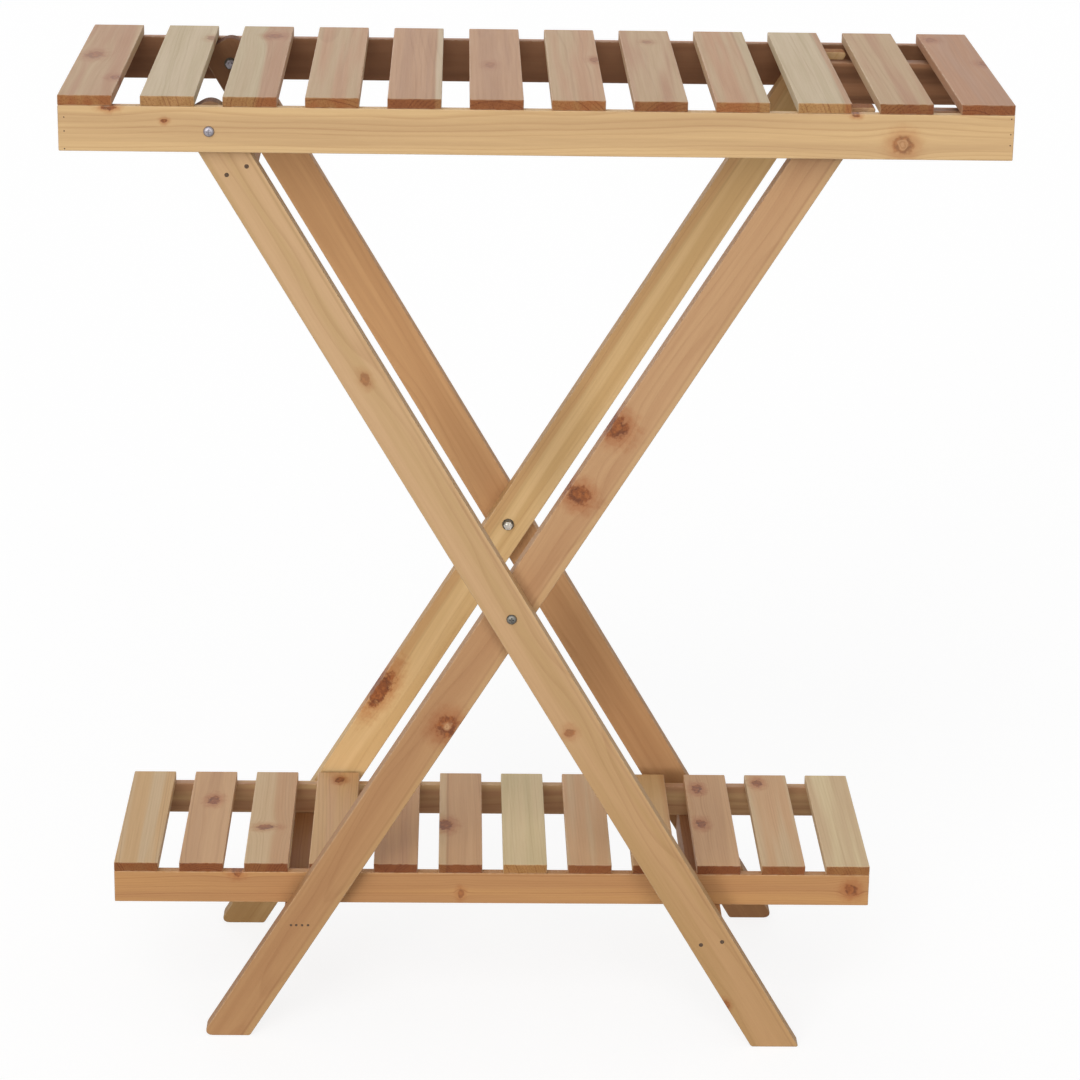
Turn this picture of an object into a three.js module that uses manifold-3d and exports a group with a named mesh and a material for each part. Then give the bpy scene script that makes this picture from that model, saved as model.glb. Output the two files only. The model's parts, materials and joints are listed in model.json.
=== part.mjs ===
// Plant ladder stand: a slatted top tray on two crossing pairs of legs, with a loose
// slatted shelf lying on the lower crossbars. Millimetres, +Z up, the front faces -Y.
import * as THREE from 'three';
import Module from 'manifold-3d';

const wasm = await Module();
wasm.setup();
const { Manifold } = wasm;

// ---- driving sizes -------------------------------------------------------------
// Top tray.
const TRAY_LENGTH = 850;
const TRAY_DEPTH = 336;
const TRAY_SLATS = 12;
const TRAY_SLAT_WIDTH = 48;
const SLAT_THICK = 9.4;
const TRAY_RAIL_HEIGHT = 41;
const TRAY_RAIL_THICK = 10;

// Legs, four alike boards. The tilts are measured from upright.
const LEG_WIDTH = 40;
const LEG_THICK = 18;
const OUTER_LEG_TILT = 30.7;
const INNER_LEG_TILT = 31.7;
const FOOT_TO_CENTRE = 515.4;
const CENTRE_TO_TRAY_BOLT = 538.3;
const LEG_END_PAST_BOLT = 23;
const LEG_END_ROUND = 14;
const FOOT_ROUND = 6;
const INNER_TOP_ROUND = 3;

// Bolts: the same size at the four pivots.
const BOLT_DIA = 5;
const BOLT_HEAD_DIA = 9.6;
const BOLT_HEAD_HIGH = 3;
const BOLT_DRIVE = 4.4;
const BOLT_DRIVE_SLOT = 1;
const BOLT_DRIVE_DEEP = 1.4;
const BOLT_END = 3;
const NUT_ACROSS = 8;
const NUT_HIGH = 4;
const WASHER_DIA = 12;
const WASHER_THICK = 1;
const TRAY_BOLT_DROP = 22;

// Crossbars between the legs.
const CROSSBAR_WIDE = 28;
const CROSSBAR_HIGH = 32;
const TOP_CROSSBAR_DROP = 20;
const BOTTOM_CROSSBAR_TOP = 132;

// Lower shelf.
const SHELF_LENGTH = 734;
const SHELF_SHIFT = -31;
const SHELF_SLATS = 12;
const SHELF_SLAT_WIDTH = 42.6;
const SHELF_RAIL_HEIGHT = 32;
const SHELF_RAIL_THICK = 10;

// Boards inside the tray that keep the tops of the inner legs in line.
const STOP_BOARD_THICK = 18;
const STOP_BOARD_HEIGHT = 40;
const STOP_BOARD_DROP = 7;
const BACK_STOP_PAST_LEG = 17.6;
const FRONT_STOP_LENGTH = 95;

// ---- clearances ----------------------------------------------------------------
const SIDE_GAP = 1;
const HOLE_GAP = 0.1;
const REST_GAP = 0.3;
const SEAT_GAP = 0.05;
// From the shelf's long edges to the inner legs, so that it lifts out freely.
const SHELF_SIDE_GAP = 5.5;

// ---- places worked out from the sizes --------------------------------------------
const outerTilt = THREE.MathUtils.degToRad(OUTER_LEG_TILT);
const innerTilt = THREE.MathUtils.degToRad(INNER_LEG_TILT);
const centreZ = FOOT_TO_CENTRE * Math.cos(outerTilt);
const trayBoltZ = centreZ + CENTRE_TO_TRAY_BOLT * Math.cos(outerTilt);
const trayUnderside = trayBoltZ + TRAY_BOLT_DROP;
const slatPitch = (TRAY_LENGTH - TRAY_SLAT_WIDTH) / (TRAY_SLATS - 1);
// The tray bolts stand in the middle of the gap between the second and third slat.
const trayBoltX = -TRAY_LENGTH / 2 + 1.5 * slatPitch + TRAY_SLAT_WIDTH / 2;
const centreX = trayBoltX + CENTRE_TO_TRAY_BOLT * Math.sin(outerTilt);
const trayRailBottom = trayUnderside - TRAY_RAIL_HEIGHT;

// Layers counted from the middle outwards, the same at the front and the back.
const railOuter = TRAY_DEPTH / 2;
const railInner = railOuter - TRAY_RAIL_THICK;
const outerLegOuter = railInner - SIDE_GAP;
const outerLegInner = outerLegOuter - LEG_THICK;
const innerLegOuter = outerLegInner - SIDE_GAP;
const innerLegInner = innerLegOuter - LEG_THICK;

const shelfUnderside = BOTTOM_CROSSBAR_TOP + REST_GAP + SHELF_RAIL_HEIGHT;
const boreDia = BOLT_DIA + 2 * HOLE_GAP;

// ---- materials -------------------------------------------------------------------
const WOOD = { color: 0xc9a26f, roughness: 0.75, metalness: 0 };
const DARK_WOOD = { color: 0xb98d5a, roughness: 0.75, metalness: 0 };
const ZINC = { color: 0x9a9ca0, roughness: 0.4, metalness: 1 };

function piece(name, geometry, look) {
  const mesh = new THREE.Mesh(geometry, new THREE.MeshStandardMaterial(look));
  mesh.name = name;
  return mesh;
}

// ---- shape helpers ---------------------------------------------------------------
function block(x0, x1, y0, y1, z0, z1) {
  const geometry = new THREE.BoxGeometry(x1 - x0, y1 - y0, z1 - z0);
  geometry.translate((x0 + x1) / 2, (y0 + y1) / 2, (z0 + z1) / 2);
  return geometry;
}

// Turns an outline drawn in X and Z into a board between two Y values.
function boardFromOutline(shape, y0, y1) {
  const geometry = new THREE.ExtrudeGeometry(shape, {
    depth: y1 - y0,
    bevelEnabled: false,
    curveSegments: 12,
  });
  geometry.rotateX(Math.PI / 2);
  geometry.translate(0, y1, 0);
  return geometry;
}

function boltHole(x, z, dia) {
  const hole = new THREE.Path();
  hole.absarc(x, z, dia / 2, 0, 2 * Math.PI, true);
  return hole;
}

// Closed outline through the given corners, each rounded to its own radius.
function roundedOutline(corners) {
  const shape = new THREE.Shape();
  const count = corners.length;
  for (let i = 0; i < count; i += 1) {
    const here = new THREE.Vector2(corners[i].x, corners[i].z);
    const before = corners[(i + count - 1) % count];
    const after = corners[(i + 1) % count];
    const back = new THREE.Vector2(before.x, before.z).sub(here).normalize();
    const ahead = new THREE.Vector2(after.x, after.z).sub(here).normalize();
    const half = back.angleTo(ahead) / 2;
    const round = corners[i].round;
    const reach = round / Math.tan(half);
    const start = here.clone().addScaledVector(back, reach);
    if (i === 0) {
      shape.moveTo(start.x, start.y);
    } else {
      shape.lineTo(start.x, start.y);
    }
    if (round > 0) {
      addCorner(shape, here, back, ahead, half, round);
    }
  }
  shape.closePath();
  return shape;
}

function addCorner(shape, here, back, ahead, half, round) {
  const inward = back.clone().add(ahead).normalize();
  const middle = here.clone().addScaledVector(inward, round / Math.sin(half));
  const reach = round / Math.tan(half);
  const from = here.clone().addScaledVector(back, reach).sub(middle);
  const to = here.clone().addScaledVector(ahead, reach).sub(middle);
  const a0 = Math.atan2(from.y, from.x);
  let sweep = Math.atan2(to.y, to.x) - a0;
  if (sweep > Math.PI) {
    sweep -= 2 * Math.PI;
  }
  if (sweep < -Math.PI) {
    sweep += 2 * Math.PI;
  }
  const steps = 10;
  for (let k = 1; k <= steps; k += 1) {
    const a = a0 + (sweep * k) / steps;
    shape.lineTo(middle.x + round * Math.cos(a), middle.y + round * Math.sin(a));
  }
}

// ---- legs ------------------------------------------------------------------------
// A point on a leg: along its length from the centre bolt (up is positive) and across
// its width. side is -1 for the outer legs (top to the left) and 1 for the inner legs.
function onLeg(side, along, across) {
  const tilt = side < 0 ? outerTilt : innerTilt;
  return {
    x: centreX + side * (along * Math.sin(tilt) + across * Math.cos(tilt)),
    z: centreZ + along * Math.cos(tilt) - across * Math.sin(tilt),
  };
}

// The point where a long edge of a leg meets a level line.
function edgeAtHeight(side, across, z, round) {
  const tilt = side < 0 ? outerTilt : innerTilt;
  const along = (z - centreZ + across * Math.sin(tilt)) / Math.cos(tilt);
  const spot = onLeg(side, along, across);
  spot.round = round;
  return spot;
}

function outerLegOutline(footRound) {
  const half = LEG_WIDTH / 2;
  const end = CENTRE_TO_TRAY_BOLT + LEG_END_PAST_BOLT;
  const topOuter = { ...onLeg(-1, end, half), round: LEG_END_ROUND };
  const topInner = { ...onLeg(-1, end, -half), round: LEG_END_ROUND };
  const shape = roundedOutline([
    edgeAtHeight(-1, half, 0, 3),
    edgeAtHeight(-1, -half, 0, footRound),
    topInner,
    topOuter,
  ]);
  shape.holes.push(boltHole(centreX, centreZ, boreDia));
  shape.holes.push(boltHole(trayBoltX, trayBoltZ, boreDia));
  return shape;
}

function innerLegOutline() {
  const half = LEG_WIDTH / 2;
  const top = trayUnderside - REST_GAP;
  const shape = roundedOutline([
    edgeAtHeight(1, half, 0, 3),
    edgeAtHeight(1, half, top, INNER_TOP_ROUND),
    edgeAtHeight(1, -half, top, 1),
    edgeAtHeight(1, -half, 0, FOOT_ROUND),
  ]);
  shape.holes.push(boltHole(centreX, centreZ, boreDia));
  return shape;
}

function legs() {
  const front = boardFromOutline(outerLegOutline(1.5), -outerLegOuter, -outerLegInner);
  const back = boardFromOutline(outerLegOutline(FOOT_ROUND), outerLegInner, outerLegOuter);
  const innerFront = boardFromOutline(innerLegOutline(), -innerLegOuter, -innerLegInner);
  const innerBack = boardFromOutline(innerLegOutline(), innerLegInner, innerLegOuter);
  return [
    piece('outer_front_leg', front, WOOD),
    piece('outer_back_leg', back, DARK_WOOD),
    piece('inner_front_leg', innerFront, WOOD),
    piece('inner_back_leg', innerBack, DARK_WOOD),
  ];
}

// ---- crossbars -------------------------------------------------------------------
function crossbar(name, side, z, halfLength) {
  const x = edgeAtHeight(side, 0, z, 0).x;
  const x0 = x - CROSSBAR_WIDE / 2;
  const x1 = x + CROSSBAR_WIDE / 2;
  const z0 = z - CROSSBAR_HIGH / 2;
  const z1 = z + CROSSBAR_HIGH / 2;
  const length = halfLength - SEAT_GAP;
  return piece(name, block(x0, x1, -length, length, z0, z1), DARK_WOOD);
}

function crossbars() {
  const bottomZ = BOTTOM_CROSSBAR_TOP - CROSSBAR_HIGH / 2;
  const topZ = trayRailBottom - TOP_CROSSBAR_DROP;
  return [
    crossbar('outer_top_crossbar', -1, topZ, outerLegInner),
    crossbar('outer_bottom_crossbar', -1, bottomZ, outerLegInner),
    crossbar('inner_bottom_crossbar', 1, bottomZ, innerLegInner),
  ];
}

// ---- slats and rails --------------------------------------------------------------
function slatRow(prefix, x0, x1, count, width, halfDepth, underside) {
  const pitch = (x1 - x0 - width) / (count - 1);
  const row = [];
  for (let i = 0; i < count; i += 1) {
    const left = x0 + i * pitch;
    const top = underside + SLAT_THICK;
    const shape = block(left, left + width, -halfDepth, halfDepth, underside, top);
    const number = String(i + 1).padStart(2, '0');
    row.push(piece(`${prefix}_slat_${number}`, shape, WOOD));
  }
  return row;
}

// A long rail with the given round holes through its thickness.
function railBoard(x0, x1, y0, y1, z0, z1, holes) {
  const shape = new THREE.Shape();
  shape.moveTo(x0, z0);
  shape.lineTo(x1, z0);
  shape.lineTo(x1, z1);
  shape.lineTo(x0, z1);
  shape.closePath();
  for (const hole of holes) {
    shape.holes.push(boltHole(hole.x, hole.z, hole.dia));
  }
  return boardFromOutline(shape, y0, y1);
}

function trayRails() {
  const x1 = TRAY_LENGTH / 2;
  const z0 = trayRailBottom;
  const z1 = trayUnderside;
  const hole = [{ x: trayBoltX, z: trayBoltZ, dia: boreDia }];
  const front = railBoard(-x1, x1, -railOuter, -railInner, z0, z1, hole);
  const back = railBoard(-x1, x1, railInner, railOuter, z0, z1, hole);
  const inner = x1 - TRAY_RAIL_THICK;
  const left = block(-x1, -inner, -railInner, railInner, z0, z1);
  const right = block(inner, x1, -railInner, railInner, z0, z1);
  return [
    piece('tray_front_rail', front, WOOD),
    piece('tray_back_rail', back, DARK_WOOD),
    piece('tray_left_end_rail', left, WOOD),
    piece('tray_right_end_rail', right, WOOD),
  ];
}

function stopBoards() {
  const x1 = TRAY_LENGTH / 2 - TRAY_RAIL_THICK;
  const outer = innerLegInner - SIDE_GAP;
  const inner = outer - STOP_BOARD_THICK;
  const z1 = trayUnderside - STOP_BOARD_DROP;
  const z0 = z1 - STOP_BOARD_HEIGHT;
  const front = block(x1 - FRONT_STOP_LENGTH, x1, -outer, -inner, z0, z1);
  // The back board reaches past the middle line of the inner leg's top.
  const backLeft = edgeAtHeight(1, 0, trayUnderside, 0).x - BACK_STOP_PAST_LEG;
  const back = block(backLeft, x1, inner, outer, z0, z1);
  return [
    piece('tray_front_stop_board', front, DARK_WOOD),
    piece('tray_back_stop_board', back, DARK_WOOD),
  ];
}

function shelf() {
  const x0 = SHELF_SHIFT - SHELF_LENGTH / 2;
  const x1 = SHELF_SHIFT + SHELF_LENGTH / 2;
  const outer = innerLegInner - SHELF_SIDE_GAP;
  const inner = outer - SHELF_RAIL_THICK;
  const z0 = shelfUnderside - SHELF_RAIL_HEIGHT;
  const z1 = shelfUnderside;
  const thick = SHELF_RAIL_THICK;
  const row = slatRow('shelf', x0, x1, SHELF_SLATS, SHELF_SLAT_WIDTH, outer, z1);
  return [
    piece('shelf_front_rail', block(x0, x1, -outer, -inner, z0, z1), WOOD),
    piece('shelf_back_rail', block(x0, x1, inner, outer, z0, z1), DARK_WOOD),
    piece('shelf_left_end_rail', block(x0, x0 + thick, -inner, inner, z0, z1), WOOD),
    piece('shelf_right_end_rail', block(x1 - thick, x1, -inner, inner, z0, z1), WOOD),
    ...row,
  ];
}

// ---- bolts, washers and nuts ---------------------------------------------------------
// A round-headed bolt with a cross recess, standing on +Z with its head from z = 0 up.
function boltSolid(grip) {
  const r = BOLT_HEAD_DIA / 2;
  const h = BOLT_HEAD_HIGH;
  const shank = BOLT_DIA / 2;
  const profile = [
    [0, -grip],
    [shank - 0.5, -grip],
    [shank, -grip + 0.5],
    [shank, 0],
    [r, 0],
    [r, 0.35 * h],
    [0.9 * r, 0.66 * h],
    [0.7 * r, 0.88 * h],
    [0.4 * r, h],
    [0, h],
  ];
  const slotX = Manifold.cube([BOLT_DRIVE, BOLT_DRIVE_SLOT, 2 * BOLT_DRIVE_DEEP], true);
  const slotY = Manifold.cube([BOLT_DRIVE_SLOT, BOLT_DRIVE, 2 * BOLT_DRIVE_DEEP], true);
  const drive = slotX.add(slotY).translate([0, 0, h]);
  return Manifold.revolve([profile], 40).subtract(drive);
}

function ring(outerDia, sides, high) {
  const bore = Manifold.cylinder(3 * high, boreDia / 2, boreDia / 2, 32);
  return Manifold.cylinder(high, outerDia / 2, outerDia / 2, sides)
    .subtract(bore.translate([0, 0, -high]));
}

function toGeometry(solid) {
  const mesh = solid.getMesh();
  const points = new Float32Array((mesh.vertProperties.length / mesh.numProp) * 3);
  for (let i = 0; i < points.length / 3; i += 1) {
    for (let k = 0; k < 3; k += 1) {
      points[3 * i + k] = mesh.vertProperties[mesh.numProp * i + k];
    }
  }
  const geometry = new THREE.BufferGeometry();
  geometry.setAttribute('position', new THREE.BufferAttribute(points, 3));
  geometry.setIndex(new THREE.BufferAttribute(new Uint32Array(mesh.triVerts), 1));
  geometry.computeVertexNormals();
  return geometry;
}

// Fasteners are made standing on +Z, then laid along Y. facing is -1 at the front,
// where the head looks to -Y, and 1 at the back.
function layAlongY(geometry, facing, x, y, z) {
  geometry.rotateX(facing < 0 ? Math.PI / 2 : -Math.PI / 2);
  geometry.translate(x, y, z);
  return geometry;
}

// headY is the face under the head and nutY the face under the washer, both counted
// outwards from the middle.
function boltSet(label, facing, x, z, headY, nutY) {
  const grip = headY - nutY + WASHER_THICK + NUT_HIGH + BOLT_END;
  const washerY = nutY - WASHER_THICK;
  const endY = washerY - NUT_HIGH;
  const nutCorners = (2 * NUT_ACROSS) / Math.sqrt(3);
  const bolt = toGeometry(boltSolid(grip));
  const washer = toGeometry(ring(WASHER_DIA, 40, WASHER_THICK - SEAT_GAP));
  const nut = toGeometry(ring(nutCorners, 6, NUT_HIGH - SEAT_GAP));
  layAlongY(bolt, facing, x, facing * (headY + SEAT_GAP), z);
  layAlongY(washer, facing, x, facing * washerY, z);
  layAlongY(nut, facing, x, facing * endY, z);
  return [
    piece(`${label}_bolt`, bolt, ZINC),
    piece(`${label}_washer`, washer, ZINC),
    piece(`${label}_nut`, nut, ZINC),
  ];
}

function fasteners() {
  return [
    ...boltSet('front_tray', -1, trayBoltX, trayBoltZ, railOuter, outerLegInner),
    ...boltSet('back_tray', 1, trayBoltX, trayBoltZ, railOuter, outerLegInner),
    ...boltSet('front_centre', -1, centreX, centreZ, outerLegOuter, innerLegInner),
    ...boltSet('back_centre', 1, centreX, centreZ, outerLegOuter, innerLegInner),
  ];
}

// ---- the whole stand ------------------------------------------------------------------
function traySlats() {
  const half = TRAY_LENGTH / 2;
  const depth = TRAY_DEPTH / 2;
  const width = TRAY_SLAT_WIDTH;
  return slatRow('tray', -half, half, TRAY_SLATS, width, depth, trayUnderside);
}

const stand = new THREE.Group();
stand.name = 'plant_ladder_stand';
stand.add(...trayRails());
stand.add(...traySlats());
stand.add(...stopBoards());
stand.add(...legs());
stand.add(...crossbars());
stand.add(...fasteners());
stand.add(...shelf());

export default stand;
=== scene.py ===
"""Dresses the plant ladder stand: softened fir boards with grain, knots and sawn ends,
nail heads, and zinc plated bolts, on a white studio floor. Lengths are in metres; those
that describe the wood's figure are in millimetres, measured on the board."""
import json
import math
import random

import bmesh
import bpy
from mathutils import Matrix, Vector


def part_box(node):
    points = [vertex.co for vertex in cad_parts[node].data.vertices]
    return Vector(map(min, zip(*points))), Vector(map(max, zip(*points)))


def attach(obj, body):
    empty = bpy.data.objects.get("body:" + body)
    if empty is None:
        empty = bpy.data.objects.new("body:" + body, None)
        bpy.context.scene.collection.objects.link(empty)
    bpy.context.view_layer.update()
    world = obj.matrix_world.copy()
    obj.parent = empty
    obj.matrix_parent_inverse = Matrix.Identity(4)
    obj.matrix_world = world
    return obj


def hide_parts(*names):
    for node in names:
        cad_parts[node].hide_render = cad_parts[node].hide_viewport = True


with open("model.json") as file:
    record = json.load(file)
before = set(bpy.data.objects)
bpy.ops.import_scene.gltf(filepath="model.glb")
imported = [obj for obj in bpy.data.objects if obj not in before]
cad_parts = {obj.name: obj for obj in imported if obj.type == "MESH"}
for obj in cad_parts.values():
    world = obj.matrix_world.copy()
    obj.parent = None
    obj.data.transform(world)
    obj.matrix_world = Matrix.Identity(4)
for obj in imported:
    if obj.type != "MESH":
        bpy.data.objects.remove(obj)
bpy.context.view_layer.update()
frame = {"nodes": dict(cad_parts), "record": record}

MM = 0.001
WHITE = (1, 1, 1, 1)
body_of = {
    node: body
    for body, nodes in frame["record"]["behaviour"]["bodies"].items()
    for node in nodes
}


# ---- camera and lights ---------------------------------------------------------------
# The camera is fitted to the edges and corners of the stand in the photograph.
CAMERA_PLACE = (-0.070715, -3.229123, 1.574832)
CAMERA_TURN = math.radians(1.477)
CAMERA_DOWN = math.radians(18.9153)
CAMERA_ROLL = math.radians(0.9459)
SENSOR_MM = 36
FOCAL_PIXELS = 3502.78
FRAME_PIXELS = 1080
VIEW_END = 60


def place_camera():
    data = bpy.data.cameras.new("camera")
    data.sensor_width = SENSOR_MM
    data.lens = SENSOR_MM * FOCAL_PIXELS / FRAME_PIXELS
    data.clip_end = VIEW_END
    camera = bpy.data.objects.new("camera", data)
    bpy.context.scene.collection.objects.link(camera)
    ahead = Vector((math.sin(CAMERA_TURN) * math.cos(CAMERA_DOWN),
                    math.cos(CAMERA_TURN) * math.cos(CAMERA_DOWN),
                    -math.sin(CAMERA_DOWN)))
    level = Vector((math.cos(CAMERA_TURN), -math.sin(CAMERA_TURN), 0))
    upright = level.cross(ahead)
    right = math.cos(CAMERA_ROLL) * level + math.sin(CAMERA_ROLL) * upright
    up = math.cos(CAMERA_ROLL) * upright - math.sin(CAMERA_ROLL) * level
    camera.matrix_world = Matrix((right, up, -ahead)).transposed().to_4x4()
    camera.location = CAMERA_PLACE
    bpy.context.scene.camera = camera


def sun(name, strength, width, direction):
    """A far lamp. width is the angle that it fills, in degrees: the wider, the softer
    its shadows."""
    data = bpy.data.lights.new(name, "SUN")
    data.energy = strength
    data.angle = math.radians(width)
    lamp = bpy.data.objects.new(name, data)
    lamp.rotation_mode = "QUATERNION"
    lamp.rotation_quaternion = Vector(direction).to_track_quat("-Z", "Y")
    bpy.context.scene.collection.objects.link(lamp)


# ---- shader nodes --------------------------------------------------------------------
BUMP_STRENGTH = 0.7


def tone(red, green, blue):
    """A colour written as it looks on screen, 0 to 255, as the shaders' linear one."""
    linear = []
    for part in (red / 255, green / 255, blue / 255):
        dark = part <= 0.04045
        linear.append(part / 12.92 if dark else ((part + 0.055) / 1.055) ** 2.4)
    return (*linear, 1.0)


class Value:
    """An output of a node. Sums and products of values add Math nodes."""

    def __init__(self, finish, output):
        self.finish = finish
        self.output = output

    def math(self, operation, first, second=None):
        inputs = {0: first} if second is None else {0: first, 1: second}
        return self.finish.node("Math", {"operation": operation}, inputs)

    def __add__(self, other):
        return self.math("ADD", self, other)

    def __radd__(self, other):
        return self.math("ADD", other, self)

    def __sub__(self, other):
        return self.math("SUBTRACT", self, other)

    def __rsub__(self, other):
        return self.math("SUBTRACT", other, self)

    def __mul__(self, other):
        return self.math("MULTIPLY", self, other)

    def __truediv__(self, other):
        return self.math("DIVIDE", self, other)

    def __abs__(self):
        return self.math("ABSOLUTE", self)

    def root(self):
        return self.math("SQRT", self)

    def sine(self):
        return self.math("SINE", self)

    def floor(self):
        return self.math("FLOOR", self)

    def most(self, other):
        return self.math("MAXIMUM", self, other)

    def least(self, other):
        return self.math("MINIMUM", self, other)

    def rises(self, start, end):
        """0 up to start, 1 from end on, and smooth between."""
        settings = {"interpolation_type": "SMOOTHSTEP"}
        inputs = {"Value": self, "From Min": start, "From Max": end}
        return self.finish.node("MapRange", settings, inputs)

    def falls(self, start, end):
        return 1 - self.rises(start, end)


class Finish:
    """The nodes of a material, or of the world."""

    def __init__(self, owner):
        owner.use_nodes = True
        self.owner = owner
        self.tree = owner.node_tree
        self.tree.nodes.clear()

    def node(self, kind, settings=None, inputs=None, output=0):
        made = self.tree.nodes.new("ShaderNode" + kind)
        for key, setting in (settings or {}).items():
            setattr(made, key, setting)
        for key, value in (inputs or {}).items():
            if isinstance(value, Value):
                self.tree.links.new(value.output, made.inputs[key])
            else:
                made.inputs[key].default_value = value
        return Value(self, made.outputs[output]) if made.outputs else None

    def outputs(self, kind, names, inputs=None):
        """Several outputs of one new node."""
        made = self.node(kind, None, inputs).output.node
        return [Value(self, made.outputs[name]) for name in names]

    def vector(self, x, y, z):
        return self.node("CombineXYZ", None, {"X": x, "Y": y, "Z": z})

    def noise(self, vector, scale=1.0, detail=2.0, rough=0.5):
        inputs = {"Vector": vector, "Scale": scale, "Detail": detail, "Roughness": rough}
        return self.node("TexNoise", None, inputs)

    def mix(self, share, first, second, blend="MIX"):
        settings = {"data_type": "RGBA", "blend_type": blend, "clamp_factor": True}
        return self.node("Mix", settings, {0: share, 6: first, 7: second}, 2)

    def tint(self, share, colour, multiplier):
        """Multiplies a colour by a multiplier, as far as share says."""
        return self.mix(share, colour, multiplier, "MULTIPLY")

    def surface(self, colour, rough, height, depth, metallic=0.0):
        bump = {"Height": height, "Distance": depth, "Strength": BUMP_STRENGTH}
        inputs = {
            "Base Color": colour,
            "Roughness": rough,
            "Metallic": metallic,
            "Normal": self.node("Bump", None, bump),
        }
        shader = self.node("BsdfPrincipled", None, inputs)
        self.node("OutputMaterial", None, {"Surface": shader})
        return self.owner

    def looked_at(self):
        """1 where the camera sees it, straight, mirrored or through glass, and else 0."""
        rays = ["Is Camera Ray", "Is Glossy Ray", "Is Transmission Ray"]
        straight, mirrored, through = self.outputs("LightPath", rays)
        return straight.most(mirrored).most(through)


# ---- surroundings --------------------------------------------------------------------
FLOOR_HALF = 45
FLOOR_DROP = 0.0004
FLOOR_DULL = tone(170, 168, 165)
FLOOR_SHADED = (0.24, 0.24, 0.24, 1)
FLOOR_GLOW = 0.825
WORLD_LIGHT = 0.38


def studio():
    """White all round for the camera and in reflections, softer as a light."""
    world = bpy.data.worlds.new("studio")
    bpy.context.scene.world = world
    finish = Finish(world)
    light = finish.node("Background", None, {"Color": WHITE, "Strength": WORLD_LIGHT})
    seen = finish.node("Background", None, {"Color": WHITE, "Strength": 1.0})
    shader = finish.node("MixShader", None, {0: finish.looked_at(), 1: light, 2: seen})
    finish.node("OutputWorld", None, {"Surface": shader})


def floor():
    """A wide floor that looks white and keeps the stand's shadow, but lights the stand
    only as a dull one would."""
    bm = bmesh.new()
    bmesh.ops.create_grid(bm, x_segments=1, y_segments=1, size=FLOOR_HALF)
    bmesh.ops.translate(bm, vec=(0, 0, -FLOOR_DROP), verts=bm.verts)
    mesh = bpy.data.meshes.new("floor")
    bm.to_mesh(mesh)
    bm.free()
    plane = bpy.data.objects.new("floor", mesh)
    bpy.context.scene.collection.objects.link(plane)
    finish = Finish(bpy.data.materials.new("white floor"))
    dull = finish.node("BsdfDiffuse", None, {"Color": FLOOR_DULL})
    shaded = finish.node("BsdfDiffuse", None, {"Color": FLOOR_SHADED})
    glow = finish.node("Emission", None, {"Color": WHITE, "Strength": FLOOR_GLOW})
    shown = finish.node("AddShader", None, {0: shaded, 1: glow})
    shader = finish.node("MixShader", None, {0: finish.looked_at(), 1: dull, 2: shown})
    finish.node("OutputMaterial", None, {"Surface": shader})
    mesh.materials.append(finish.owner)


# ---- tones of the wood ---------------------------------------------------------------
CREAM = tone(204, 182, 148)
GREEN_BEIGE = tone(194, 172, 134)
BEIGE = tone(191, 158, 118)
GOLD_TAN = tone(216, 180, 129)
TAN = tone(199, 160, 116)
RAIL_TAN = tone(202, 165, 118)
PINK_TAN = tone(188, 142, 102)
PINK_BROWN = tone(178, 132, 94)
RUSSET = tone(176, 132, 100)
RED_BROWN = tone(180, 130, 92)
ORANGE_BROWN = tone(182, 132, 83)
HONEY = tone(192, 142, 88)
SHADED_BROWN = tone(170, 122, 80)
# Painted shade inside the tray: the back rail's inner face and the stop boards.
TRAY_INSIDE_SHADE = tone(126, 84, 52)
LEG_TAN = tone(204, 166, 123)
LEG_OLIVE = tone(194, 158, 111)
LEG_PINK = tone(195, 153, 110)
LEG_ROSE = tone(187, 143, 101)
LEG_EDGE = tone(200, 162, 116)
# A lighter band on the outer front leg's up-facing right edge and side: painted light.
LEG_LIT_EDGE = tone(207, 170, 123)
LEG_BROWN = tone(193, 150, 98)
LEG_STRAW = tone(215, 180, 127)
LEG_HONEY = tone(202, 164, 109)
# The outer back leg's own tone, painted lighter against the shade of the tray.
LIT_LEG_AMBER = tone(213, 164, 112)
LEG_COPPER = tone(201, 151, 100)
# The shelf's tones are lighter copies of the tray's: painted light against the tray's
# shade.
LIT_SHELF_BEIGE = tone(210, 179, 136)
LIT_SHELF_TAN = tone(208, 167, 113)
LIT_SHELF_PEACH = tone(207, 163, 117)
LIT_SHELF_ROSE = tone(198, 153, 108)
LIT_SHELF_CREAM = tone(224, 201, 156)
LIT_SHELF_STRAW = tone(214, 193, 145)

# Tones that another tone is multiplied by: the wood's own darker marks, and painted shade
# where the name says shade.
# Darker towards the front legs' feet: partly the wood's own tone, partly painted shade.
FOOT_TONE_AND_SHADE = tone(232, 222, 206)
# Painted shade on the back legs' feet, under the shelf.
UNDER_SHELF_SHADE = tone(190, 176, 152)
# Painted shade: darkens the outer back leg below its lighter top.
LOWER_LEG_SHADE = tone(218, 214, 210)
# Painted shade on the legs' tops, inside the tray.
LEG_TOP_TRAY_SHADE = tone(160, 146, 136)
LATE_WOOD = tone(188, 150, 118)
SEAM = tone(176, 146, 104)
KNOT_HALO = tone(222, 176, 142)
END_PALE = tone(228, 194, 152)
END_DARK = tone(150, 100, 58)

KNOT_LIGHT = tone(158, 92, 42)
KNOT_DARK = tone(128, 68, 26)
KNOT_RIM = tone(84, 40, 14)
KNOT_HEART = tone(202, 158, 114)
# Pale edges: partly wear, partly a painted edge highlight.
WORN_EDGE_HIGHLIGHT = tone(226, 200, 166)


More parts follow.
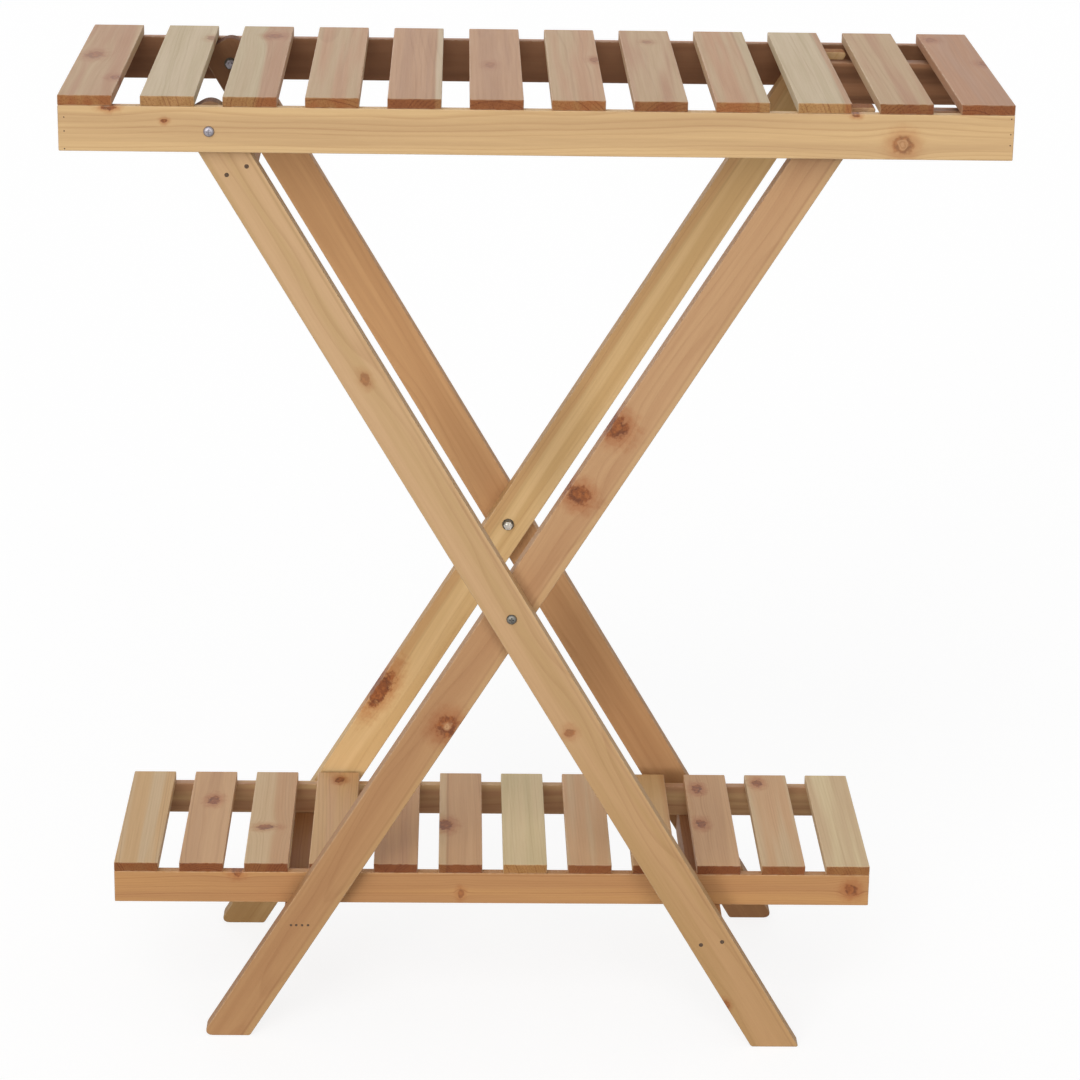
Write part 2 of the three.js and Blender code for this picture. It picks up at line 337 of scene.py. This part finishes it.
# ---- how a board is cut --------------------------------------------------------------
class Cut:
    """How a board was cut from its log, and its tones.

    sap and heart are the outer and inner wood of the log, pith is where the log's middle
    runs, across and behind the board, ring is the width of a year's growth, and heart_at
    is the distance from the pith where the two woods meet, or 0 where they mingle. slope
    and drift say how far the rings run askew and wander. lines and streaks are how far
    the grain shows, ends how dark the sawn ends are. strip is a band of another tone
    along one edge (edge, where it starts, tone) that begins at strip_from,
    shade_and_stains the darker tones that grow along the board, mostly painted shade
    (where each starts, where it is full, tone)."""

    def __init__(self, sap, heart, pith, ring, heart_at=0.0, slope=0.02, drift=5.0,
                 lines=0.3, streaks=0.3, ends=0.3, strip=None, strip_from=-1000,
                 shade_and_stains=()):
        self.sap, self.heart, self.heart_at = sap, heart, heart_at
        self.pith, self.ring, self.slope, self.drift = pith, ring, slope, drift
        self.lines, self.streaks, self.ends = lines, streaks, ends
        self.strip, self.strip_from, self.shade_and_stains = strip, strip_from, shade_and_stains


class Knot:
    """A knot at (along, across) on the board's face. stretch is its length along the
    grain over its width, depth how dark it is, and heart how wide its pale middle is."""

    def __init__(self, along, across, radius, stretch=1.0, depth=0.9, heart=0.0):
        self.along, self.across, self.radius = along, across, radius
        self.stretch, self.depth, self.heart = stretch, depth, heart


# ---- what the wood looks like --------------------------------------------------------
PITH_YEAR = 200.0
DRIFT_REACH = 2.2
HEART_FADE = 2.2
STRIP_FADE = 14


def flow_round(knots, u, v):
    """The place across the grain, whose lines flow round the knots like water round a
    stone."""
    flow = v
    for knot in knots:
        along = (u - knot.along) / (1.7 * knot.stretch)
        across = v - knot.across
        reach = (0.95 * knot.radius) ** 2
        flow = flow - across * reach / (along * along + across * across).most(reach)
    return flow


def late_wood(finish, years, seed):
    """The dark end of each year's ring, fainter in some years than in others."""
    year = years.floor()
    part = years - year
    luck = finish.node("TexWhiteNoise", {"noise_dimensions": "1D"}, {"W": year + seed})
    return part.rises(0.5, 0.9) * part.falls(0.92, 1.0) * (luck * luck * 0.9 + 0.1)


def plain_wood(finish, cut, u, v, ring_at, drift, broad):
    """The board's tone without its lines: inner and outer wood, strip, and the darker
    bands along it, mostly painted shade.
    """
    inner = broad.rises(0.36, 0.64)
    if cut.heart_at > 0:
        core = ring_at.falls(cut.heart_at - HEART_FADE, cut.heart_at + HEART_FADE)
        inner = core * 0.8 + inner * 0.2
    colour = finish.mix(inner, cut.sap, cut.heart)
    if cut.strip:
        edge, where, strip_tone = cut.strip
        from_strip = v * edge + drift * 5.0 - where
        shown = u.rises(cut.strip_from - STRIP_FADE, cut.strip_from + STRIP_FADE)
        inside = from_strip.rises(-1.5, 1.5) * shown * 0.85
        colour = finish.mix(inside, colour, strip_tone)
        seam = abs(from_strip + 1.2).falls(0.2, 1.8) * shown * (broad * 0.45)
        colour = finish.tint(seam, colour, SEAM)
    # Darker bands along the board, mostly painted shade.
    for start, full, multiplier in cut.shade_and_stains:
        colour = finish.tint((u + drift * 60.0).rises(start, full), colour, multiplier)
    return colour


def knot_look(finish, colour, knot, u, v, ragged, blotch):
    """Paints one knot: a reddish halo, a blotched dark body and a broken rim."""
    size = knot.radius
    along = (u - knot.along) / knot.stretch
    across = v - knot.across
    far = (along * along + across * across).root()
    torn = size * (1 - 0.6 * knot.heart)
    uneven = far + (ragged - 0.5) * (1.7 * torn) + (blotch - 0.5) * (0.8 * torn)
    halo = uneven.falls(0.7 * size, 2.8 * size)
    colour = finish.tint(halo * (0.8 * knot.depth), colour, KNOT_HALO)
    body = finish.mix(blotch.rises(0.4, 0.66), KNOT_DARK, KNOT_LIGHT)
    if knot.heart > 0:
        ring = 0.3 * size + 0.6
        rings = (uneven * (math.tau / ring)).sine() * 0.25 + 0.75
        reach = (0.2 + 0.8 * knot.heart) * size
        pale = uneven.falls(0.4 * reach, reach) * rings
        body = finish.mix(pale * 0.8, body, KNOT_HEART)
    rim = uneven.rises(0.4 * size, 0.7 * size) * ragged.rises(0.42, 0.6) * 0.6
    body = finish.mix(rim, body, KNOT_RIM)
    inside = uneven.falls(0.75 * size, 1.2 * size)
    return finish.mix(inside * knot.depth, colour, body), inside


def sawn_look(finish, colour, cut, late, pores):
    """The same rings cut across, darker and open-grained."""
    multiplier = finish.mix(cut.ends, END_PALE, END_DARK)
    open_grain = late * 0.45 + pores.rises(0.46, 0.72) * 0.6
    return finish.tint(open_grain, finish.tint(1.0, colour, multiplier), SHADED_BROWN)


def fir(name, place, size, cut, knots=()):
    """Fir cut as one board. place is the board's own frame (length, width, thickness
    along X, Y, Z), and size its three measures in mm."""
    chance = random.Random(name)
    finish = Finish(bpy.data.materials.new(name))
    seeds = [chance.uniform(-400, 400) for _ in range(3)]
    on_stand, normal = finish.outputs("TexCoord", ["Object", "Normal"])
    mapping = {
        "Vector": on_stand,
        "Location": place.translation,
        "Rotation": place.to_euler(),
        "Scale": (MM, MM, MM),
    }
    local = finish.node("Mapping", {"vector_type": "TEXTURE"}, mapping)
    u, v, w = finish.outputs("SeparateXYZ", "XYZ", {"Vector": local})
    flow = flow_round(knots, u, v)

    def along_grain(fine_u, fine_v, seed_u, seed_v, detail=2.0, rough=0.5):
        """Noise that changes fine_u times per mm along the grain, fine_v across it."""
        at = finish.vector(u * fine_u + seed_u, flow * fine_v + seed_v, w * fine_v)
        return finish.noise(at, detail=detail, rough=rough)

    drift = along_grain(0.0035, 0.011, seeds[0], seeds[1]) - 0.5
    broad = along_grain(0.0026, 0.075, seeds[2], seeds[0], rough=0.45)
    streak = along_grain(0.006, 0.42, seeds[1], seeds[2], detail=3.0, rough=0.55)
    fibre = along_grain(0.04, 2.0, seeds[2], seeds[0], rough=0.6)
    ragged_at = finish.vector(u + seeds[0], v + seeds[1], w)
    ragged = finish.noise(ragged_at, scale=0.17, detail=3.0)
    blotch = finish.noise(ragged_at, scale=0.27, detail=3.0, rough=0.6)
    pores = finish.noise(local, scale=0.9, detail=3.0, rough=0.7)

    pith_v, pith_w = cut.pith
    ring_v = flow - pith_v - u * cut.slope
    ring_w = w + pith_w
    from_pith = (ring_v * ring_v + ring_w * ring_w).root()
    ring_at = from_pith + drift * cut.drift * DRIFT_REACH
    late = late_wood(finish, ring_at / cut.ring + PITH_YEAR, seeds[2])

    colour = plain_wood(finish, cut, u, v, ring_at, drift, broad)
    shade = late * cut.lines + (streak - 0.42) * cut.streaks + (fibre - 0.45) * 0.25
    colour = finish.tint(shade, colour, LATE_WOOD)
    hollows = None
    for knot in knots:
        colour, inside = knot_look(finish, colour, knot, u, v, ragged, blotch)
        hollows = inside if hollows is None else hollows.most(inside)

    facing = {0: normal, 1: tuple(place.to_3x3().col[0])}
    turned = finish.node("VectorMath", {"operation": "DOT_PRODUCT"}, facing, "Value")
    sawn = abs(turned).rises(0.3, 0.75)
    colour = finish.mix(sawn, colour, sawn_look(finish, colour, cut, late, pores))

    # Long edges are rubbed smoother, and paler: partly wear, partly a painted edge
    # highlight.
    length, width, thick = size
    near_u, near_v, near_w = length / 2 - abs(u), width / 2 - abs(v), thick / 2 - abs(w)
    edge = near_v.most(near_w).least(near_u.most(near_v)).least(near_u.most(near_w))
    edge_wear_and_highlight = edge.falls(0.2, 1.5) * ragged.rises(0.34, 0.62)
    colour = finish.mix(edge_wear_and_highlight * 0.2, colour, WORN_EDGE_HIGHLIGHT)

    rough = 0.58 + streak * 0.14 + sawn * 0.18 - edge_wear_and_highlight * 0.08
    height = fibre * 0.5 - late * 0.3 + pores * sawn * 1.2
    if hollows is not None:
        height = height - hollows * (0.5 + ragged * 0.8)
    return finish.surface(colour, rough, height, 0.3 * MM)


# ---- boards --------------------------------------------------------------------------
ALONG_X = Matrix(((1, 0, 0), (0, 0, -1), (0, 1, 0))).to_4x4()
ALONG_Y = Matrix(((0, 0, 1), (1, 0, 0), (0, 1, 0))).to_4x4()
SLAT_WAY = Matrix(((0, -1, 0), (1, 0, 0), (0, 0, 1))).to_4x4()
SHARP = math.radians(28)


def finished(bm, name, material, node):
    """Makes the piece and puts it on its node's body."""
    mesh = bpy.data.meshes.new(name)
    bm.to_mesh(mesh)
    bm.free()
    mesh.materials.append(material)
    made = bpy.data.objects.new(name, mesh)
    bpy.context.scene.collection.objects.link(made)
    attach(made, body_of[node])
    return made


def squared(place, size, shift=0.0):
    """A box of this length, width and thickness in its own frame, moved along it."""
    bm = bmesh.new()
    bmesh.ops.create_cube(bm, size=1.0)
    bmesh.ops.scale(bm, vec=size, verts=bm.verts)
    bmesh.ops.translate(bm, vec=(shift, 0, 0), verts=bm.verts)
    bmesh.ops.transform(bm, matrix=place, verts=bm.verts)
    return bm


def round_off(bm, edges, reach, steps):
    bmesh.ops.bevel(bm, geom=edges, offset=reach, offset_type="OFFSET", segments=steps,
                    profile=0.5, affect="EDGES", clamp_overlap=False, material=-1)


def dress(bm, node, place, size, cut, knots, softness):
    """Takes the sharpness off a board's edges, as sandpaper does, gives it its wood and
    lets it stand for its node. size and softness are in mm."""
    sharp = [edge for edge in bm.edges if edge.calc_face_angle(0) > SHARP]
    round_off(bm, sharp, softness * MM, 2)
    material = fir(node + "_fir", place, size, cut, knots)
    board = finished(bm, node + "_board", material, node)
    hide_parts(node)


def plank(node, way, cut, knots=(), softness=0.8):
    """A straight board that fills its node's box. way turns the board's own length,
    width and thickness into the stand's axes."""
    low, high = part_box(node)
    place = way.copy()
    place.translation = (low + high) / 2
    size = [abs(measure) for measure in way.to_3x3().transposed() @ (high - low)]
    in_mm = [measure / MM for measure in size]
    dress(squared(place, size), node, place, in_mm, cut, knots, softness)


CENTRE_BOLT = Vector((-0.016811, 0, 0.443168))
LEG_TILT = {-1: math.radians(30.7), 1: math.radians(31.7)}
LEG_WIDE = 0.040
LEG_SOFTNESS = 0.9
SLATS_UNDERSIDE = 0.928026
REST_GAP = 0.0003
# How far from the centre bolt a leg ends: before it is cut level, where its top is sawn
# square, and where its top is cut level.
UNCUT_END = 0.62
SQUARE_TOP = 0.5613
LEVEL_TOP = 0.57
WIDE_ROUND = 8
WIDE_ROUND_STEPS = 12
ROUND_STEPS = 5


def leg(node, side, top_end, foot_rounds, top_rounds, cut, knots=()):
    """A leg on its slant. side is -1 where it leans left; top_end is the distance from
    the centre bolt to its square top, or None where the top is cut level under the slats.
    Each pair of roundings, in mm, is for the lower and the upper long edge's corner."""
    low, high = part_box(node)
    tilt_sin, tilt_cos = math.sin(LEG_TILT[side]), math.cos(LEG_TILT[side])
    along = Vector((side * tilt_sin, 0, tilt_cos))
    across = Vector((side * tilt_cos, 0, -tilt_sin))
    place = Matrix((along, across, along.cross(across))).transposed().to_4x4()
    place.translation = CENTRE_BOLT + Vector((0, (low.y + high.y) / 2, 0))
    thick = high.y - low.y
    end = top_end or UNCUT_END
    bm = squared(place, (end + UNCUT_END, LEG_WIDE, thick), (end - UNCUT_END) / 2)
    cut_level(bm, 0, -1)
    if top_end is None:
        cut_level(bm, SLATS_UNDERSIDE - REST_GAP, 1)
    round_corners(bm, place.inverted(), False, foot_rounds)
    round_corners(bm, place.inverted(), True, top_rounds)
    size = (2 * (top_end or LEVEL_TOP) / MM, LEG_WIDE / MM, thick / MM)
    dress(bm, node, place, size, cut, knots, LEG_SOFTNESS)


def cut_level(bm, height, outward):
    """Saws off what lies past a height, below it for -1 and above it for 1."""
    everything = [*bm.verts, *bm.edges, *bm.faces]
    bmesh.ops.bisect_plane(bm, geom=everything, dist=1e-7, plane_co=(0, 0, height),
                           plane_no=(0, 0, outward), clear_outer=True)
    bmesh.ops.holes_fill(bm, edges=[edge for edge in bm.edges if edge.is_boundary])


def round_corners(bm, to_leg, at_top, rounds):
    """Rounds the two corners at a leg's top or foot, seen from the front, each to its
    own radius. to_leg turns the stand's axes into the leg's."""
    for lower, radius in zip((True, False), rounds):
        for edge in bm.edges:
            if is_corner(edge, to_leg, at_top, lower):
                inner = math.pi - edge.calc_face_angle()
                reach = radius * MM / math.tan(inner / 2)
                steps = WIDE_ROUND_STEPS if radius > WIDE_ROUND else ROUND_STEPS
                round_off(bm, [edge], reach, steps)
                break


def is_corner(edge, to_leg, at_top, lower):
    """Whether an edge runs from the front to the back at this corner of a leg."""
    first, second = (to_leg @ vert.co for vert in edge.verts)
    level = max(abs(first.x - second.x), abs(first.y - second.y)) < 1e-6
    on_side = abs(abs(first.y) - LEG_WIDE / 2) < 1e-5 and (first.y > 0) == lower
    at_end = (first.x > 0) == at_top
    return level and on_side and at_end and edge.calc_face_angle(0) > 0.5


# ---- nails ---------------------------------------------------------------------------
NAIL_HIGH = 0.3
NAIL_PROUD = 0.02
NAIL_TAPER = 0.8
NAIL_SIDES = 14


def nail_steel():
    finish = Finish(bpy.data.materials.new("dull nail steel"))
    place = finish.node("TexCoord", output="Object")
    grain = finish.noise(place, scale=1400, detail=3.0)
    colour = finish.mix(grain.rises(0.4, 0.65), tone(74, 62, 54), tone(112, 88, 66))
    return finish.surface(colour, 0.5 + grain * 0.3, grain, 0.1 * MM, metallic=0.7)


def nails(node, slot, face_y, radius, spots, steel):
    """Small nail heads, driven level with a board's front or back face. All in mm."""
    facing = math.copysign(1, face_y)
    turn = Matrix.Rotation(math.radians(-90 * facing), 4, "X")
    y = face_y + facing * NAIL_PROUD
    bm = bmesh.new()
    for x, z in spots:
        place = Matrix.Translation((x * MM, y * MM, z * MM)) @ turn
        bmesh.ops.create_cone(bm, cap_ends=True, segments=NAIL_SIDES, matrix=place,
                              radius1=radius * MM, radius2=NAIL_TAPER * radius * MM,
                              depth=NAIL_HIGH * MM)
    finished(bm, node + "_nails", steel, node)


# ---- bolts ---------------------------------------------------------------------------
FLAT = math.radians(1)
ROUND = math.radians(33)
SCRATCH = tone(84, 80, 78)


def zinc_plate(name, plain, bloomed, least_rough=0.34):
    """Zinc plate: grey with a faint bloom, finely scratched and dull."""
    finish = Finish(bpy.data.materials.new(name))
    place = finish.node("TexCoord", output="Object")
    bloom = finish.noise(place, scale=420, detail=3.0)
    fine = finish.noise(place, scale=2600, detail=3.0, rough=0.65)
    colour = finish.mix(bloom.rises(0.35, 0.65), plain, bloomed)
    colour = finish.mix(fine.rises(0.56, 0.7) * 0.7, colour, SCRATCH)
    rough = least_rough + bloom * 0.14 + fine * 0.1
    return finish.surface(colour, rough, fine, 0.06 * MM, metallic=1.0)


def fastener(node, metal):
    """A bolt, washer or nut as it was turned, with its round faces smooth."""
    bm = bmesh.new()
    bm.from_mesh(frame["nodes"][node].data)
    bmesh.ops.remove_doubles(bm, verts=bm.verts, dist=1e-6)
    bmesh.ops.dissolve_limit(bm, angle_limit=FLAT, verts=bm.verts, edges=bm.edges)
    for face in bm.faces:
        face.smooth = True
    for edge in bm.edges:
        edge.smooth = edge.calc_face_angle(0) < ROUND
    part = finished(bm, node + "_metal", metal, node)
    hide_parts(node)


# ---- the slats -----------------------------------------------------------------------
# A slat's knot is listed as it looks from the front, which shortens it by this much.
SLANTED_VIEW = 2.2


def slat_knot(along, across, radius, stretch, depth):
    return Knot(along, across, radius, stretch * SLANTED_VIEW, depth)


def tray_cut(sap, heart, pith, ring, ends, **more):
    return Cut(sap, heart, pith, ring, lines=0.165, streaks=0.4, ends=ends, **more)


def shelf_cut(sap, heart, pith, ring, lines=0.21, ends=0.82, **more):
    return Cut(sap, heart, pith, ring, lines=lines, drift=3.0, ends=ends, **more)


TRAY_SLATS = [
    (tray_cut(BEIGE, PINK_BROWN, (14, 40), 3.4, 0.072),
     [slat_knot(14.5, 9, 8, 0.9, 0.6), slat_knot(-87, -20.5, 5.5, 0.75, 0.75)]),
    (tray_cut(GREEN_BEIGE, CREAM, (60, 20), 3.6, 0.12),
     [slat_knot(104, -21, 4.5, 1.0, 0.6)]),
    (tray_cut(GREEN_BEIGE, PINK_BROWN, (-62, 18), 3.2, 0.252, heart_at=62),
     [slat_knot(118, -8, 8, 0.6, 0.75)]),
    (tray_cut(BEIGE, PINK_TAN, (10, 60), 3.6, 0.264), []),
    (tray_cut(PINK_TAN, PINK_BROWN, (-40, 38), 3.2, 0.54, strip=(-1, 18.5, CREAM)), []),
    (tray_cut(PINK_TAN, PINK_BROWN, (5, 48), 3.4, 0.498),
     [slat_knot(-11.6, 4.9, 4.5, 1.3, 0.45)]),
    (tray_cut(BEIGE, PINK_TAN, (30, 44), 3.4, 0.216),
     [slat_knot(18, -20.7, 5, 1.0, 0.6)]),
    (tray_cut(BEIGE, PINK_BROWN, (-20, 40), 3.3, 0.522),
     [slat_knot(110, -1.1, 5, 0.7, 0.5)]),
    (tray_cut(PINK_TAN, BEIGE, (0, 52), 3.4, 0.132, strip=(-1, 15, GREEN_BEIGE)), []),
    (tray_cut(CREAM, GREEN_BEIGE, (80, 30), 3.8, 0.0, strip=(-1, 18, PINK_BROWN)), []),
    (tray_cut(BEIGE, PINK_BROWN, (-16, 36), 3.3, 0.576), []),
    (tray_cut(RUSSET, RED_BROWN, (20, 34), 3.0, 0.39),
     [slat_knot(137, 14, 6, 0.8, 0.6), slat_knot(20, -23, 6, 0.8, 0.6)]),
]
# The shelf slats' tones are painted lighter, against the shade of the tray above.
SHELF_SLATS = [
    (shelf_cut(LIT_SHELF_BEIGE, LIT_SHELF_TAN, (50, 20), 2.4, lines=0.35), []),
    (shelf_cut(LIT_SHELF_PEACH, LIT_SHELF_ROSE, (-4, 36), 2.2, lines=0.315),
     [slat_knot(39.8, -2.2, 5.5, 0.8, 1.0)]),
    (shelf_cut(LIT_SHELF_BEIGE, LIT_SHELF_ROSE, (-50, 26), 2.4, heart_at=58),
     [slat_knot(-27.2, 4.5, 9, 0.3, 0.85)]),
    (shelf_cut(LIT_SHELF_TAN, LIT_SHELF_PEACH, (36, 34), 2.0, lines=0.315),
     [slat_knot(93.8, -1.9, 4.5, 0.7, 1.0)]),
    (shelf_cut(LIT_SHELF_ROSE, PINK_TAN, (-30, 30), 2.4), []),
    (shelf_cut(LIT_SHELF_PEACH, LIT_SHELF_ROSE, (34, 30), 2.2, strip=(1, 14, LIT_SHELF_BEIGE)),
     [slat_knot(-19.5, 15.5, 7.5, 0.7, 0.95)]),
    (shelf_cut(LIT_SHELF_CREAM, LIT_SHELF_STRAW, (70, 24), 2.8, ends=0.5), []),
    (shelf_cut(LIT_SHELF_BEIGE, LIT_SHELF_PEACH, (-38, 32), 2.2), []),
    (shelf_cut(LIT_SHELF_TAN, HONEY, (34, 30), 2.4), []),
    (shelf_cut(LIT_SHELF_PEACH, LIT_SHELF_ROSE, (-38, 24), 2.0, lines=0.28, ends=0.9),
     [slat_knot(76.2, 9.5, 5, 0.9, 1.0), slat_knot(-13.1, 11.1, 5, 0.9, 1.0)]),
    (shelf_cut(LIT_SHELF_BEIGE, LIT_SHELF_PEACH, (38, 26), 2.0, lines=0.28, ends=0.78),
     [slat_knot(93, 9.5, 5, 0.8, 1.0)]),
    (shelf_cut(LIT_SHELF_CREAM, LIT_SHELF_BEIGE, (44, 22), 2.6, ends=0.72), []),
]

# Each row: the node, its slot, its face's distance forward (-) or back, the heads'
# radius, and where each head is, across and up. All in mm.
NAILS = [
    ("tray_front_rail", "tray_wood", -168, 0.7,
     [(-419.5, 917.5), (-419.5, 905), (-419.5, 889), (422, 925), (422, 911), (422, 901)]),
    ("tray_back_rail", "tray_wood", 168, 0.9,
     [(-420, 920), (-421, 907), (-420, 894), (420, 921), (421, 907), (420, 895)]),
    ("outer_front_leg", "leg_wood", -157, 2.3,
     [(-277, 864.2), (-259.1, 872.2), (170.6, 109.2), (190.9, 112.5)]),
    ("outer_back_leg", "leg_wood", 157, 1.2,
     [(-276, 866), (-260, 870), (173, 111), (188, 117)]),
    ("inner_front_leg", "leg_wood", -138, 1.4,
     [(-226, 119), (-221, 119), (-215.3, 119), (-209.5, 119)]),
    ("inner_back_leg", "leg_wood", 138, 1.2, [(-226, 113), (-211, 118)]),
]

# ---- the stand -----------------------------------------------------------------------
place_camera()
studio()
floor()
sun("upper front light", 1.05, 44, (0.2, 0.78, -0.56))
sun("left front light", 0.86, 18, (0.45, 0.88, -0.17))
sun("right front light", 0.5, 22, (-0.4, 0.9, -0.17))
sun("back light", 0.8, 50, (0.2, -0.95, -0.24))

for where, slats in (("tray", TRAY_SLATS), ("shelf", SHELF_SLATS)):
    for number, (cut, knots) in enumerate(slats, 1):
        plank(f"{where}_slat_{number:02d}", SLAT_WAY, cut, knots)

plank("tray_front_rail", ALONG_X,
      Cut(GOLD_TAN, RAIL_TAN, (34, 52), 2.4, slope=0.008),
      [Knot(326, -7, 8.5, 1.05, 0.7, 0.8), Knot(-380, 19.2, 2.7, 2.2, 0.95),
       Knot(-331, 7.5, 1.9, 1.5, 0.95), Knot(283, 20, 2.4, 1.5, 0.9)])
# The back rail's inner face is darker, as heartwood: painted shade inside the tray.
plank("tray_back_rail", ALONG_X,
      Cut(RED_BROWN, TRAY_INSIDE_SHADE, (0, -60), 3.2, heart_at=60, slope=0.0, drift=2),
      [Knot(-120, 4, 6), Knot(255, -9, 4.5)])
for end, knot in (("left", Knot(40, 6, 5)), ("right", Knot(-62, -5, 4))):
    plank(f"tray_{end}_end_rail", ALONG_Y,
          Cut(TAN, PINK_TAN, (12, 44), 3.1), [knot])
# The stop boards are darker: painted shade inside the tray.
for side in ("front", "back"):
    plank(f"tray_{side}_stop_board", ALONG_X,
          Cut(RED_BROWN, TRAY_INSIDE_SHADE, (22, 40), 3.4))
plank("shelf_front_rail", ALONG_X,
      Cut(HONEY, ORANGE_BROWN, (52, 26), 2.1, slope=0.01, drift=3, lines=0.42),
      [Knot(349.7, 0.5, 6, 1.0, 0.85), Knot(-248, 16, 4.5, 1.2, 0.8),
       Knot(-31, -6, 5, 0.6, 0.6)])
# Lighter tones than the rail's own: painted light against the shade of the slats above.
plank("shelf_back_rail", ALONG_X,
      Cut(GOLD_TAN, PINK_TAN, (14, 46), 3.0, slope=0.014), [Knot(150, 3, 5)])
for end in ("left", "right"):
    plank(f"shelf_{end}_end_rail", ALONG_Y,
          Cut(HONEY, ORANGE_BROWN, (10, 44), 3.0))
for bar in ("outer_top_crossbar", "outer_bottom_crossbar", "inner_bottom_crossbar"):
    plank(bar, ALONG_Y, Cut(ORANGE_BROWN, RED_BROWN, (8, 36), 3.4),
          softness=1.0)

# Painted light and shade on this leg: a lighter band along its up-facing right edge,
# darker towards the foot in part, and its top inside the tray darkened.
leg("outer_front_leg", -1, SQUARE_TOP, (3, 1.5), (14, 14),
    Cut(LEG_TAN, LEG_OLIVE, (-26, 58), 3.0, slope=0.01, drift=10, lines=0.16,
        streaks=0.24, strip=(-1, 17.5, LEG_LIT_EDGE),
        shade_and_stains=[(250, -520, FOOT_TONE_AND_SHADE), (541, 553, LEG_TOP_TRAY_SHADE)]),
    [Knot(269, -0.6, 4.0, 1.5, 0.5), Knot(-127, 9.5, 4.4, 1.1, 0.6),
     Knot(-451, 19, 3, 1.4, 0.7)])
# Painted light and shade on this leg: its top lighter against the tray's shade, its top
# inside the tray darker, and its foot darker under the shelf.
leg("outer_back_leg", -1, SQUARE_TOP, (3, 6), (14, 14),
    Cut(LIT_LEG_AMBER, LEG_COPPER, (24, 50), 3.0, slope=0.01, drift=10, lines=0.2,
        streaks=0.24, shade_and_stains=[(300, -150, LOWER_LEG_SHADE), (-380, -520, UNDER_SHELF_SHADE),
                              (478, 512, LEG_TOP_TRAY_SHADE)]))
# The leg darkens towards its foot: partly its own tone, partly painted shade.
leg("inner_front_leg", 1, None, (3, 6), (3, 1),
    Cut(LEG_PINK, LEG_ROSE, (10, 48), 2.8, slope=0.01, drift=10, lines=0.16,
        streaks=0.24, strip=(1, 14.5, LEG_EDGE), shade_and_stains=[(300, -400, FOOT_TONE_AND_SHADE)]),
    [Knot(205, -14.6, 11, 0.9, 1.0), Knot(131, -9.8, 11, 0.8, 1.0),
     Knot(-130, 10.5, 10, 1.1, 1.0, 0.4)])
# Painted shade: the foot is darker under the shelf.
leg("inner_back_leg", 1, None, (3, 6), (3, 1),
    Cut(LEG_STRAW, LEG_HONEY, (40, 44), 3.2, slope=0.01, drift=10, lines=0.2,
        streaks=0.24, strip=(-1, 10.5, LEG_BROWN), strip_from=-236,
        shade_and_stains=[(-380, -520, UNDER_SHELF_SHADE)]),
    [Knot(-221, -14.5, 8, 2.6, 1.0)])

steel = nail_steel()
for row in NAILS:
    nails(*row, steel)

pale_zinc = zinc_plate("pale zinc plate", tone(142, 138, 146), tone(158, 153, 157))
dull_zinc = zinc_plate("dull zinc plate", tone(98, 98, 94), tone(124, 120, 112))
bright_zinc = zinc_plate("bright zinc plate", tone(206, 203, 196), tone(226, 222, 212),
                         least_rough=0.2)
# The washers are darker: partly tarnish, partly painted shade round the nuts and heads.
tarnish_and_shade_zinc = zinc_plate("tarnished zinc with painted shade", tone(76, 70, 60), tone(100, 90, 76))
for where, bolt_zincs, nut_zinc in (("tray", (pale_zinc, pale_zinc), pale_zinc),
                                    ("centre", (dull_zinc, bright_zinc), bright_zinc)):
    for side, bolt_zinc in zip(("front", "back"), bolt_zincs):
        fastener(f"{side}_{where}_bolt", bolt_zinc)
        fastener(f"{side}_{where}_nut", nut_zinc)
        fastener(f"{side}_{where}_washer", tarnish_and_shade_zinc)

bpy.context.scene.view_settings.view_transform = "Standard"
